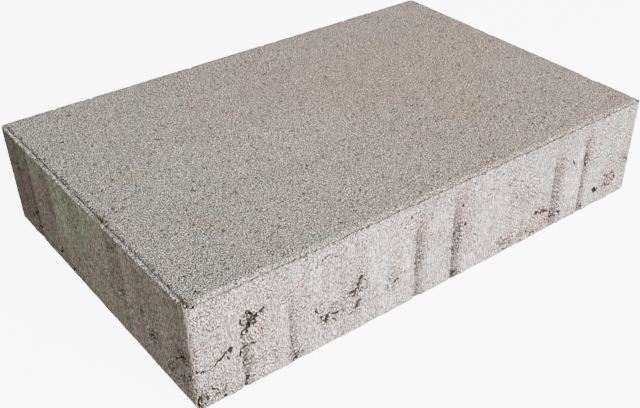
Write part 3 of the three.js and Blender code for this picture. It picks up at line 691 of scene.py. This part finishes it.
# The face marks that say which material a quad gets, and the walls that carry each one.
LONG_MARK, END_MARK, BED_MARK, TOP_MARK = "is_long_side", "is_end", "is_bed", "is_top"
MARKED_WALLS = {
    LONG_MARK: ("front", "back"),
    END_MARK: ("left", "right"),
    BED_MARK: ("bed",),
    TOP_MARK: ("top",),
}


def stone_mesh(name, points, quads, walls, marks):
    """The formed stone as a Blender mesh in metres, with its marks as attributes."""
    mesh = bpy.data.meshes.new(name)
    mesh.vertices.add(len(points))
    mesh.loops.add(quads.size)
    mesh.polygons.add(len(quads))
    mesh.vertices.foreach_set("co", (points * MM).ravel())
    mesh.loops.foreach_set("vertex_index", quads.ravel().astype(np.int32))
    mesh.polygons.foreach_set("loop_start", np.arange(0, quads.size, 4, dtype=np.int32))
    mesh.update(calc_edges=True)
    for label, values in marks.items():
        kind, entry = ("FLOAT_VECTOR", "vector") if values.ndim == 2 else ("FLOAT", "value")
        layer = mesh.attributes.new(label, kind, "POINT")
        layer.data.foreach_set(entry, values.ravel().astype(np.float32))
    for label, names in MARKED_WALLS.items():
        layer = mesh.attributes.new(label, "BOOLEAN", "FACE")
        layer.data.foreach_set("value", np.isin(walls, [list(WALLS).index(wall) for wall in names]))
    return mesh


def read_mark(mesh, label):
    """The values of one of a mesh's marks, a number a point."""
    values = np.zeros(len(mesh.vertices), np.float32)
    mesh.attributes[label].data.foreach_get("value", values)
    return values


def add_object(name, data):
    made = bpy.data.objects.new(name, data)
    bpy.context.scene.collection.objects.link(made)
    return made


# ---------------------------------------------------------------- writing node trees
class Nodes:
    """Writes a node tree one node a call: links or sets the inputs and hands back an output."""

    def __init__(self, tree):
        self.tree = tree

    def add(self, kind, inputs=None, output=0, **settings):
        made = self.tree.nodes.new(kind)
        for name, value in settings.items():
            setattr(made, name, value)
        for socket, value in (inputs or {}).items():
            if isinstance(value, bpy.types.NodeSocket):
                self.tree.links.new(value, made.inputs[socket])
            else:
                made.inputs[socket].default_value = value
        return made.outputs[output] if made.outputs else made

    def math(self, operation, *values):
        """Combines numbers two at a time, from the first to the last."""

        def pair(a, b):
            return self.add("ShaderNodeMath", {0: a, 1: b}, operation=operation)

        return functools.reduce(pair, values)

    def multiply(self, *factors):
        return self.math("MULTIPLY", *factors)

    def total(self, *parts):
        return self.math("ADD", *parts)

    def vector_math(self, operation, a, b):
        return self.add("ShaderNodeVectorMath", {0: a, 1: b}, operation=operation)

    def scale(self, vector, factor):
        return self.add("ShaderNodeVectorMath", {"Vector": vector, "Scale": factor}, operation="SCALE")

    def step(self, value, low, high, start=0.0, end=1.0):
        """Smoothly from start to end as the value goes from low to high."""
        inputs = {"Value": value, "From Min": low, "From Max": high, "To Min": start, "To Max": end}
        return self.add("ShaderNodeMapRange", inputs, interpolation_type="SMOOTHSTEP")

    def sized(self, vector, size):
        """A texture's inputs for features of a size, which may be a number or a socket."""
        linked = isinstance(size, bpy.types.NodeSocket)
        return {"Vector": vector, "Scale": self.math("DIVIDE", 1.0, size) if linked else 1.0 / size}

    def noise(self, vector, size, detail=2.0, roughness=0.5, **settings):
        """Noise from 0 to 1 with features of a size given in the vector's own units."""
        inputs = self.sized(vector, size) | {"Detail": detail, "Roughness": roughness}
        return self.add("ShaderNodeTexNoise", inputs, **settings)

    def cells(self, vector, size, **settings):
        """Random cells of a size: the distance to a cell's middle and the cell's own random number."""
        away = self.add("ShaderNodeTexVoronoi", self.sized(vector, size), "Distance", **settings)
        return away, self.add("ShaderNodeSeparateXYZ", {0: away.node.outputs["Color"]})

    def mix(self, factor, a, b):
        return self.add("ShaderNodeMix", {0: factor, 6: a, 7: b}, 2, data_type="RGBA")

    def mix_value(self, factor, a, b):
        return self.add("ShaderNodeMix", {0: factor, 2: a, 3: b}, data_type="FLOAT")

    def named(self, label, kind="FLOAT"):
        """A named attribute, read in whichever kind of tree this is."""
        if self.tree.type == "GEOMETRY":
            return self.add("GeometryNodeInputNamedAttribute", {"Name": label}, data_type=kind)
        return self.add("ShaderNodeAttribute", output="Fac", attribute_name=label)

    def store(self, geometry, label, value):
        """Gives each point of a geometry a named number."""
        inputs = {"Geometry": geometry, "Name": label, "Value": value}
        return self.add("GeometryNodeStoreNamedAttribute", inputs, data_type="FLOAT", domain="POINT")


# ---------------------------------------------------------------- relief by Geometry Nodes
def geometry_tree(name, sizes):
    """An empty geometry tree with a named number input for each size; returns nodes and inputs."""
    tree = bpy.data.node_groups.new(name, "GeometryNodeTree")
    tree.interface.new_socket("Geometry", in_out="INPUT", socket_type="NodeSocketGeometry")
    for label, value in sizes.items():
        socket = tree.interface.new_socket(label, in_out="INPUT", socket_type="NodeSocketFloat")
        socket.default_value = value
    tree.interface.new_socket("Geometry", in_out="OUTPUT", socket_type="NodeSocketGeometry")
    start = tree.nodes.new("NodeGroupInput")
    return Nodes(tree), {socket.name: socket for socket in start.outputs}


def finish_geometry(nodes, geometry, material_of):
    """Ends a tree: realize instances, then set each material on the faces that carry its mark."""
    geometry = nodes.add("GeometryNodeRealizeInstances", {"Geometry": geometry})
    for label, material in material_of.items():
        inputs = {"Geometry": geometry, "Material": material}
        if label:
            inputs["Selection"] = nodes.named(label, "BOOLEAN")
        geometry = nodes.add("GeometryNodeSetMaterial", inputs)
    end = nodes.tree.nodes.new("NodeGroupOutput")
    nodes.tree.links.new(geometry, end.inputs[0])


RELIEF_SIZES = {
    "Streak Depth": 0.16,
    "Streak Width": 1.5,
    "Drag Depth": 0.35,
    "Drag Width": 8.0,
    "Grain Depth": 0.22,
    "Grain Size": 1.0,
    "Pit Depth": 0.7,
    "Pit Size": 2.2,
    "Seed": SEED,
}


def relief_tree(materials):
    """Streaks down the sides, sand grain all over, and pits where grains are missing."""
    nodes, given = geometry_tree("mould relief", RELIEF_SIZES)
    wall, deck, bed, rough = (nodes.named(label) for label in ("wall", "deck", "bed", "rough"))
    place = nodes.scale(nodes.add("GeometryNodeInputPosition"), 1 / MM)
    place = nodes.vector_math("ADD", place, given["Seed"])
    drawn = nodes.vector_math("MULTIPLY", place, (1, 1, 0.06))
    streak, drag, grain = (nodes.total(swing, -0.5) for swing in (
        nodes.noise(drawn, given["Streak Width"], 3, 0.6),
        nodes.noise(drawn, given["Drag Width"], 1),
        nodes.noise(place, given["Grain Size"], 2, 0.6),
    ))
    away, own = nodes.cells(place, given["Pit Size"])
    share = nodes.total(0.03, nodes.multiply(rough, 0.55), nodes.multiply(deck, 0.05))
    chosen = nodes.math("GREATER_THAN", nodes.total(own, share), 1.0)
    pit = nodes.multiply(chosen, nodes.step(away, 0.5, 0.12))

    drawn_share = nodes.math("SUBTRACT", 1.0, nodes.multiply(rough, 0.6))
    drawn_relief = nodes.total(
        nodes.multiply(streak, given["Streak Depth"]), nodes.multiply(drag, given["Drag Depth"])
    )
    sand = nodes.total(0.1, nodes.multiply(rough, 1.1))
    lift = nodes.total(
        nodes.multiply(drawn_relief, wall, drawn_share),
        nodes.multiply(grain, sand, given["Grain Depth"]),
        nodes.multiply(pit, given["Pit Depth"], -1.0),
    )
    lift = nodes.math("MINIMUM", lift, nodes.math("SUBTRACT", 1.0, bed))
    stone = nodes.store(given["Geometry"], "pit", pit)
    offset = nodes.scale(nodes.named("outward", "FLOAT_VECTOR"), nodes.multiply(lift, MM))
    stone = nodes.add("GeometryNodeSetPosition", {"Geometry": stone, "Offset": offset})
    finish_geometry(nodes, stone, materials)
    return nodes.tree


GRIT_SIZES = {
    "Per Square Millimetre": 0.05,
    "Smallest": 0.3,
    "Largest": 0.62,
    "Bury": 0.22,
    "Seed": SEED,
}


def grit_tree(materials):
    """Sand grains that stand out of the surface, each with a tone of its own."""
    nodes, given = geometry_tree("sand grains", GRIT_SIZES)
    density = nodes.multiply(given["Per Square Millimetre"], nodes.named("grit"), MM**-2)
    inputs = {"Mesh": given["Geometry"], "Density": density, "Seed": given["Seed"]}
    points = nodes.add("GeometryNodeDistributePointsOnFaces", inputs)
    sink = nodes.scale(points.node.outputs["Normal"], nodes.multiply(given["Bury"], -MM))
    points = nodes.add("GeometryNodeSetPosition", {"Geometry": points, "Offset": sink})
    tone = nodes.add("FunctionNodeRandomValue", {"Seed": given["Seed"]}, 1, data_type="FLOAT")
    points = nodes.store(points, "grit_tone", tone)
    low, high = (nodes.multiply(given[label], MM) for label in ("Smallest", "Largest"))
    inputs = {0: low, 1: high, "Seed": given["Seed"]}
    size = nodes.add("FunctionNodeRandomValue", inputs, data_type="FLOAT_VECTOR")
    turn = {0: (0, 0, 0), 1: (math.tau,) * 3, "Seed": given["Seed"]}
    inputs = {
        "Points": points,
        "Instance": nodes.add("GeometryNodeMeshIcoSphere", {"Radius": 1.0, "Subdivisions": 1}),
        "Rotation": nodes.add("FunctionNodeRandomValue", turn, data_type="FLOAT_VECTOR"),
        "Scale": size,
    }
    finish_geometry(nodes, nodes.add("GeometryNodeInstanceOnPoints", inputs), materials)
    return nodes.tree


def through_tree(name, mesh, tree, sizes, triangles=None):
    """Runs a mesh through a geometry tree, thins it on request, and returns it as a plain object."""
    draft = add_object(name + "_draft", mesh)
    modifier = draft.modifiers.new("tree", "NODES")
    modifier.node_group = tree
    for socket in tree.interface.items_tree:
        if socket.in_out == "INPUT" and socket.name in sizes:
            modifier[socket.identifier] = float(sizes[socket.name])
    if triangles:
        holes = np.flatnonzero(read_mark(mesh, "hollow") > 0.01)
        draft.vertex_groups.new(name="kept").add(holes.tolist(), 1.0, "REPLACE")
        thin = draft.modifiers.new("thin", "DECIMATE")
        thin.ratio = triangles / (2 * len(mesh.polygons))
        thin.vertex_group = "kept"
        thin.invert_vertex_group = True
        thin.vertex_group_factor = KEEP_FACTOR
    bpy.context.view_layer.update()
    evaluated = draft.evaluated_get(bpy.context.evaluated_depsgraph_get())
    finished = bpy.data.meshes.new_from_object(evaluated)
    finished.name = name
    bpy.data.objects.remove(draft)
    return add_object(name, finished)


# ---------------------------------------------------------------- materials
SPECULAR = 0.3  # concrete is duller than the usual 0.5


class Finish(Nodes):
    """A concrete material: what its zones share, and the shader at the end."""

    def __init__(self, name):
        self.material = bpy.data.materials.new(name)
        self.material.use_nodes = True
        super().__init__(self.material.node_tree)
        self.tree.nodes.clear()
        self.place = self.scale(self.add("ShaderNodeTexCoord", output="Object"), 1 / MM)

    def end(self, colour, roughness, height, relief):
        bump = self.add("ShaderNodeBump", {"Height": height, "Distance": relief * MM, "Strength": 1.0})
        inputs = {"Base Color": colour, "Roughness": roughness, "Normal": bump}
        shader = self.add("ShaderNodeBsdfPrincipled", inputs)
        shader.node.inputs["Specular IOR Level"].default_value = SPECULAR
        self.add("ShaderNodeOutputMaterial", {"Surface": shader})
        return self.material


def tint(level, red=1.0, blue=1.0):
    """A concrete colour: how light it is, and how much more red and blue it has than green."""
    return (level * red, level, level * blue, 1.0)


# The _SHADOW colours are painted shade for holes, cracks and pits.
COOL_TOP, WARM_TOP, TOP_SHADOW = tint(0.264, 1.08, 0.915), tint(0.257, 1.215, 0.88), tint(0.04, 1.1, 0.9)
DARK_SIDE, PALE_SIDE, SIDE_SHADOW = tint(0.289, 1.19, 0.94), tint(0.343, 1.16, 0.98), tint(0.025, 1.2, 0.8)
LEFT_END, LEFT_SHADOW = tint(0.37, 1.175, 0.82), tint(0.055, 1.2, 0.8)
DARK_BED, PALE_BED, BED_SHADOW = tint(0.28, 1.1, 0.85), tint(0.34, 1.12, 0.88), tint(0.05)
DARK_GRAIN, GREY_GRAIN, PALE_GRAIN = tint(0.1, 1.1, 0.85), tint(0.36, 1.1, 0.9), tint(0.65, 1.05, 0.95)


def sand(f, place, *layers):
    """Sand of several grain sizes: how light it is, as a factor round one, and how far it stands out.

    Each layer gives its grain size, how many times lighter its palest grains are than its darkest,
    and how much it is drawn out along the second direction of the place.
    """
    tone, height = 1.0, 0.0
    for size, contrast, drawn in layers:
        away = f.vector_math("MULTIPLY", place, (1, 1 / drawn, 1))
        away = f.vector_math("ADD", away, (37 * size, 91 * size, 0))
        turn = 0.0 if drawn > 1 else 3 * size
        away = f.add("ShaderNodeVectorRotate", {"Vector": away, "Angle": turn}, rotation_type="Z_AXIS")
        grain = f.noise(away, size, 0.0, noise_dimensions="2D")
        tone = f.multiply(tone, f.math("POWER", contrast, f.step(grain, 0.36, 0.64, -0.5, 0.5)))
        height = f.total(height, grain)
    return tone, height


def dots(f, flat, size, share, radius):
    """Single grains lying apart, which a share of the cells of the given size have."""
    away = f.vector_math("ADD", flat, (3.3 * size, 7.1 * size, 0))
    away, own = f.cells(away, size, voronoi_dimensions="2D")
    reach = f.step(own, 0.0, share, 1.3 * radius / size, 0.0)
    edge = 0.35 * radius / size
    return f.step(f.math("SUBTRACT", away, reach), edge, -edge)


# What each kind of patch does to the red, green and blue of the concrete under it.
STAINS = {
    "film": (1.5, 1.52, 1.6),
    "pink": (1.0, 0.87, 0.875),
    "green": (0.965, 1.115, 1.02),
    "rust": (1.0, 0.89, 0.78),
    "beige": (1.015, 0.99, 0.9),
    # shade is partly darker concrete and partly painted shade, at the front-left corner and round holes.
    "shade": (0.45, 0.44, 0.43),
}
MOTTLE = ((0.98, 1.01, 0.985), (1.02, 0.99, 1.0))  # greenish and reddish


def stained(f, base):
    """Adds the patches of each kind, over a faint mottle between greenish and reddish."""
    greenish, reddish = (f.vector_math("MULTIPLY", base, hue) for hue in MOTTLE)
    base = f.mix(f.step(f.noise(f.place, 11, 2), 0.38, 0.62), greenish, reddish)
    for kind, factor in STAINS.items():
        base = f.mix(f.named(kind), base, f.vector_math("MULTIPLY", base, factor))
    return base


def paint_shade_in_holes(f, base, dark):
    """Paints shade into holes and cracks, uneven at their rims; the floors of the deep ones are painted
    lit in patches, and pits get the painted shade too.
    """
    # Painted shade in holes and pits, with painted light in patches on deep floors.
    hole = f.named("hollow")
    ragged = f.total(f.multiply(hole, 2.0), f.multiply(f.noise(f.place, 1.2, 1), 0.8))
    depth = f.multiply(f.step(hole, 0.025, 0.15), f.step(ragged, 0.45, 0.9))
    lit = f.multiply(f.step(hole, 0.5, 0.9), f.step(f.noise(f.place, 1.0, 1), 0.4, 0.6))
    base = f.mix(depth, base, f.mix(lit, dark, f.scale(base, 0.35)))
    return f.mix(f.named("pit"), base, dark)


FINER_CORNER = (-150.0, -100.0, 60.0)  # the wearing face is a little smoother towards this corner


def sanded_top():
    """The wearing face: fine sand in cement, cool grey at one end and warmer at the other."""
    f = Finish("sanded wearing face")
    cloud = f.noise(f.place, 45, 2)
    along = f.add("ShaderNodeSeparateXYZ", {0: f.place})
    warm = f.step(f.total(f.step(along, -120, 30), f.multiply(cloud, 0.5)), 0.2, 1.15)
    base = stained(f, f.mix(warm, COOL_TOP, WARM_TOP))
    tone, height = sand(f, f.place, (0.8, 2.5, 1), (0.64, 5.8, 1))
    dark, pale = dots(f, f.place, 1.25, 0.85, 0.34), dots(f, f.place, 1.5, 0.8, 0.32)
    tone = f.multiply(tone, f.mix_value(dark, 1.0, 0.22), f.mix_value(pale, 1.0, 2.4))
    open_spots = dots(f, f.place, 5.0, 0.5, 0.65)
    tone = f.multiply(tone, f.mix_value(open_spots, 1.0, 0.3))
    valley, ridge = f.named("valley"), f.named("ridge")
    from_corner = f.add("ShaderNodeVectorMath", {0: f.place, 1: FINER_CORNER}, 1, operation="DISTANCE")
    share = f.multiply(
        f.step(f.noise(f.place, 14, 3), 0.35, 0.65, 0.85, 1.0),
        f.step(from_corner, 20, 140, 0.84, 1.0),
        f.step(valley, 0.0, 1.0, 1.0, 0.55),
    )
    base = paint_shade_in_holes(f, f.scale(base, f.mix_value(share, 1.0, tone)), TOP_SHADOW)
    # Painted shade in the rim's valley and, a little, on its bevel; the left ridge is lighter, in crumbly
    # spots.
    rim_shade_and_tone = f.multiply(
        f.step(valley, 0.0, 1.0, 1.0, 0.68),
        f.step(f.named("bevel"), 0.0, 1.0, 1.0, 0.9),
        f.mix_value(ridge, 1.0, f.step(f.noise(f.place, 3.0, 2), 0.35, 0.65, 0.9, 1.12)),
        f.mix_value(ridge, 1.0, f.step(f.noise(f.place, 1.7, 0), 0.35, 0.65, 0.62, 1.5)),
    )
    base = f.scale(base, rim_shade_and_tone)
    return f.end(base, 0.9, f.multiply(height, share), 0.8)


def moulded_side(name, along, contrast, streaks, drawn_out):
    """A side: a pale cement film drawn into streaks, worn to the sand in places.

    `along` is 0 where the side runs along X and 1 where it runs along Y.
    """
    f = Finish(name)
    drawn = f.vector_math("MULTIPLY", f.place, (1, 1, 0.04))
    streak = f.multiply(
        f.step(f.noise(drawn, 1.0, 3, 0.7), 0.3, 0.7, 1 - streaks, 1 + streaks),
        f.step(f.noise(drawn, 5.5, 2), 0.3, 0.7, 0.87, 1.13),
    )
    cloud = f.noise(f.place, 22, 3, 0.6)
    rough, warm = f.named("rough"), f.named("warm")
    base = f.mix(f.step(cloud, 0.3, 0.7), DARK_SIDE, PALE_SIDE)
    base = stained(f, f.mix(warm, base, LEFT_END))
    # Grooves are darker where they are deep: partly dirt, partly painted shade in the recess; less so on
    # the left end.
    groove_dirt_and_shade = f.step(f.named("groove"), 0.0, 0.8, 1.0, f.mix_value(warm, 0.36, 0.7))
    base = f.scale(base, f.multiply(groove_dirt_and_shade, streak))
    axes = f.add("ShaderNodeSeparateXYZ", {0: f.place}).node.outputs
    flat = f.add("ShaderNodeCombineXYZ", {0: axes[along], 1: axes[2]})
    smooth = f.total(f.named("film"), f.noise(f.place, 9, 2))
    grain, grain_height = sand(f, flat, (0.78, contrast, 1.8), (0.62, 1.3 * contrast, 1.5))
    film, film_height = sand(f, flat, (0.76, contrast, drawn_out), (0.62, contrast, 0.4 * drawn_out))
    film_share = f.step(f.total(smooth, f.multiply(warm, 0.3)), 0.4, 0.8)
    film = f.mix_value(film_share, grain, film)
    coarse, coarse_height = sand(f, flat, (1.0, 3.5, 1))
    bare = f.total(rough, f.multiply(f.noise(f.place, 4, 2), f.mix_value(warm, 0.8, 0.55)))
    bare = f.step(bare, 0.4, 0.8)
    dark = dots(f, flat, 1.05, f.step(bare, 0.0, 1.0, 0.5, 1.0), 0.32)
    pale = dots(f, flat, 1.25, 0.6, 0.31)
    tone = f.mix_value(f.step(smooth, 0.3, 1.2, 1.2, 0.6), 1.0, film)
    tone = f.multiply(tone, f.mix_value(bare, 1.0, coarse))
    dark_tone, pale_tone = f.mix_value(warm, 0.15, 0.62), f.mix_value(warm, 1.8, 1.32)
    tone = f.multiply(tone, f.mix_value(dark, 1.0, dark_tone), f.mix_value(pale, 1.0, pale_tone))
    base = paint_shade_in_holes(f, f.scale(base, tone), f.mix(warm, SIDE_SHADOW, LEFT_SHADOW))
    height = f.total(f.mix_value(film_share, grain_height, film_height), f.multiply(coarse_height, bare))
    return f.end(base, 0.85, height, 0.4)


def bed_face():
    """The underside: open, sandy concrete as it comes off the production board."""
    f = Finish("bed face")
    base = f.mix(f.noise(f.place, 30, 3), DARK_BED, PALE_BED)
    tone, height = sand(f, f.place, (1.0, 4.0, 1), (0.8, 3.0, 1))
    # Pits get painted shade.
    base = f.mix(f.named("pit"), f.scale(base, tone), BED_SHADOW)
    return f.end(base, 0.9, height, 0.25)


def sand_grain():
    """Loose-looking sand: most grains are the stone's grey, some pale, some dark."""
    f = Finish("sand grain")
    tone = f.named("grit_tone")
    base = f.mix(f.step(tone, 0.1, 0.9), DARK_GRAIN, GREY_GRAIN)
    base = f.mix(f.step(tone, 0.88, 0.92), base, PALE_GRAIN)
    return f.end(base, 0.8, f.noise(f.place, 0.4, 2), 0.05)


# ---------------------------------------------------------------- the pieces
SHARP_ANGLE = math.radians(45)
GRIT_FOOT = 2.5  # grains stop at about this height, so that none sticks out under the stone


def paving_stone():
    points, quads, walls = block_grid()
    points, marks = form_stone(points)
    mesh = stone_mesh("stone_draft", points, quads, walls, marks)
    finishes = {
        LONG_MARK: moulded_side("moulded long side", 0, 3.4, 0.2, 5),
        END_MARK: moulded_side("moulded end", 1, 1.95, 0.11, 5),
        BED_MARK: bed_face(),
        TOP_MARK: sanded_top(),
    }
    stone = through_tree("cast_stone", mesh, relief_tree(finishes), RELIEF_SIZES, TRIANGLES)
    stone.data.set_sharp_from_angle(angle=SHARP_ANGLE)
    return stone


def sand_grains(stone):
    mesh = stone.data.copy()
    grit = read_mark(mesh, "deck") + 0.8 * read_mark(mesh, "rough")
    places = np.zeros(3 * len(mesh.vertices), np.float32)
    mesh.vertices.foreach_get("co", places)
    grit *= places[2::3] > GRIT_FOOT * MM
    mesh.attributes.new("grit", "FLOAT", "POINT").data.foreach_set("value", grit)
    return through_tree("sand_grains", mesh, grit_tree({"": sand_grain()}), GRIT_SIZES)


# ---------------------------------------------------------------- floor, light and camera
FLOOR_REACH_M = 6.0
FLOOR_DROP_M = 0.0002
FLOOR_GLOW = 8.0  # keeps the floor near white, so that only a soft contact shadow shows
WORLD_STRENGTH = 0.37
KEY_PLACE_M = (0.35, -3.2, 1.55)
KEY_AIM_M = (0, 0, 0.03)
KEY_SIZE_M = (1.4, 1.2)
KEY_POWER = 352  # watts


def pale_floor():
    mesh = bpy.data.meshes.new("floor")
    signs = ((-1, -1), (1, -1), (1, 1), (-1, 1))
    mesh.from_pydata([(x * FLOOR_REACH_M, y * FLOOR_REACH_M, 0) for x, y in signs], [], [(0, 1, 2, 3)])
    floor = add_object("floor", mesh)
    f = Finish("pale floor")
    mesh.materials.append(f.end((0.9, 0.9, 0.9, 1), 0.9, 0.0, 0.0))
    shader = next(node for node in f.tree.nodes if node.type == "BSDF_PRINCIPLED")
    shader.inputs["Emission Color"].default_value = (1, 1, 1, 1)
    shader.inputs["Emission Strength"].default_value = FLOOR_GLOW
    floor.location.z = -FLOOR_DROP_M
    floor.visible_diffuse = False
    floor.visible_glossy = False
    return floor


def add_key_light():
    light = bpy.data.lights.new("key", "AREA")
    light.shape = "RECTANGLE"
    light.size, light.size_y = KEY_SIZE_M
    light.energy = KEY_POWER
    lamp = add_object("key", light)
    lamp.location = KEY_PLACE_M
    lamp.rotation_euler = (Vector(KEY_AIM_M) - Vector(KEY_PLACE_M)).to_track_quat("-Z", "Y").to_euler()


CAMERA_PLACE_M = (-0.2731, -0.36353, 0.29865)
CAMERA_AIM_M = (-0.04256, -0.08034, 0.03)
CAMERA_ROLL = math.radians(0.365)
CAMERA_LENS = 50.98
CAMERA_SENSOR = 36
CAMERA_NEAR_M = 0.01
CAMERA_SHIFT = (-0.0625, 0.0704)


def add_camera():
    camera = bpy.data.cameras.new("camera")
    camera.lens = CAMERA_LENS
    camera.sensor_width = CAMERA_SENSOR
    camera.shift_x, camera.shift_y = CAMERA_SHIFT
    camera.clip_start = CAMERA_NEAR_M
    viewer = add_object("camera", camera)
    look = (Vector(CAMERA_AIM_M) - Vector(CAMERA_PLACE_M)).to_track_quat("-Z", "Y").to_matrix()
    turn = look @ Matrix.Rotation(CAMERA_ROLL, 3, "Z")
    viewer.matrix_world = Matrix.Translation(CAMERA_PLACE_M) @ turn.to_4x4()
    bpy.context.scene.camera = viewer


def add_world():
    world = bpy.data.worlds.new("studio")
    world.use_nodes = True
    inputs = world.node_tree.nodes["Background"].inputs
    inputs["Color"].default_value = (1, 1, 1, 1)
    inputs["Strength"].default_value = WORLD_STRENGTH
    bpy.context.scene.world = world


stone = paving_stone()
grains = sand_grains(stone)
floor = pale_floor()
add_key_light()
add_world()
add_camera()

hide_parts(NODE)
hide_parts(NODE)
for piece in (stone, grains):
    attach(piece, "root")
